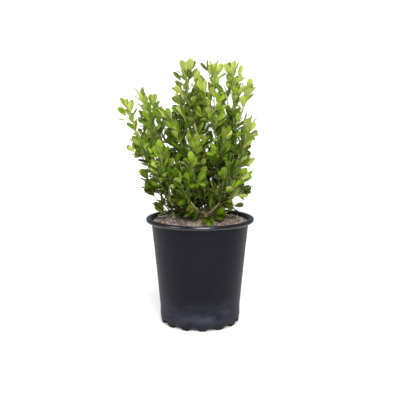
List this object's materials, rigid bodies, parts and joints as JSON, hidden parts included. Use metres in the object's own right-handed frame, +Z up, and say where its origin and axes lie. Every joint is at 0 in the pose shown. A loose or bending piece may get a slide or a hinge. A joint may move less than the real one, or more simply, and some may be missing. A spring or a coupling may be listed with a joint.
{
  "type": "potted boxwood shrub",
  "caption": "Small upright evergreen shrub with glossy oval opposite leaves, growing on slender green stems in a round black nursery pot.",
  "frame": {"origin": "centre of the pot's flat underside, on the ground", "axes": "+Z up, -Y towards the side seen in the picture, +X to its right"},
  "size_m": [0.2217, 0.1926, 0.4022],
  "materials": {
    "pot_plastic": "black blow-moulded plastic with a soft sheen, dusty at its foot",
    "potting_mix": "coarse chopped bark with grey and pale crumbs, dry on top",
    "green_bark": "smooth green bark that turns tan and ridged towards the soil",
    "boxwood_leaf": "glossy dark green tops, pale matt yellow-green undersides"
  },
  "bodies": {
    "root": {"pot": "pot_plastic", "soil": "potting_mix", "stem_front": "green_bark", "stem_left": "green_bark", "stem_centre": "green_bark", "stem_right": "green_bark", "stem_back_left": "green_bark", "stem_back_right": "green_bark", "bough_front_left": "green_bark", "bough_front_right": "green_bark", "bough_left_front": "green_bark", "bough_left_mid": "green_bark", "bough_left_high": "green_bark", "bough_centre_front": "green_bark", "bough_top_left": "green_bark", "bough_top_mid": "green_bark", "bough_right_high": "green_bark", "bough_right_mid": "green_bark", "bough_back_left": "green_bark", "bough_back_mid": "green_bark", "bough_back_right": "green_bark", "bough_back_low": "green_bark", "foliage_left_outer": "boxwood_leaf", "foliage_left_side": "boxwood_leaf", "foliage_left_high": "boxwood_leaf", "foliage_left_low": "boxwood_leaf", "foliage_left_lowest": "boxwood_leaf", "foliage_left_back": "boxwood_leaf", "foliage_left_front": "boxwood_leaf", "foliage_centre_left": "boxwood_leaf", "foliage_gap_left": "boxwood_leaf", "foliage_top_left": "boxwood_leaf", "foliage_front_high": "boxwood_leaf", "foliage_front_centre": "boxwood_leaf", "foliage_front_left": "boxwood_leaf", "foliage_front_low": "boxwood_leaf", "foliage_front_right": "boxwood_leaf", "foliage_right_lowest": "boxwood_leaf", "foliage_centre_low": "boxwood_leaf", "foliage_top_mid": "boxwood_leaf", "foliage_centre_right": "boxwood_leaf", "foliage_top_right": "boxwood_leaf", "foliage_centre_deep": "boxwood_leaf", "foliage_right_mid": "boxwood_leaf", "foliage_right_front": "boxwood_leaf", "foliage_right_low": "boxwood_leaf", "foliage_right_back": "boxwood_leaf", "foliage_back_left_high": "boxwood_leaf", "foliage_back_left_low": "boxwood_leaf", "foliage_back_mid_high": "boxwood_leaf", "foliage_back_right_high": "boxwood_leaf", "foliage_back_right_low": "boxwood_leaf", "foliage_back_low": "boxwood_leaf", "foliage_back_lowest": "boxwood_leaf"}
  },
  "joints": []
}
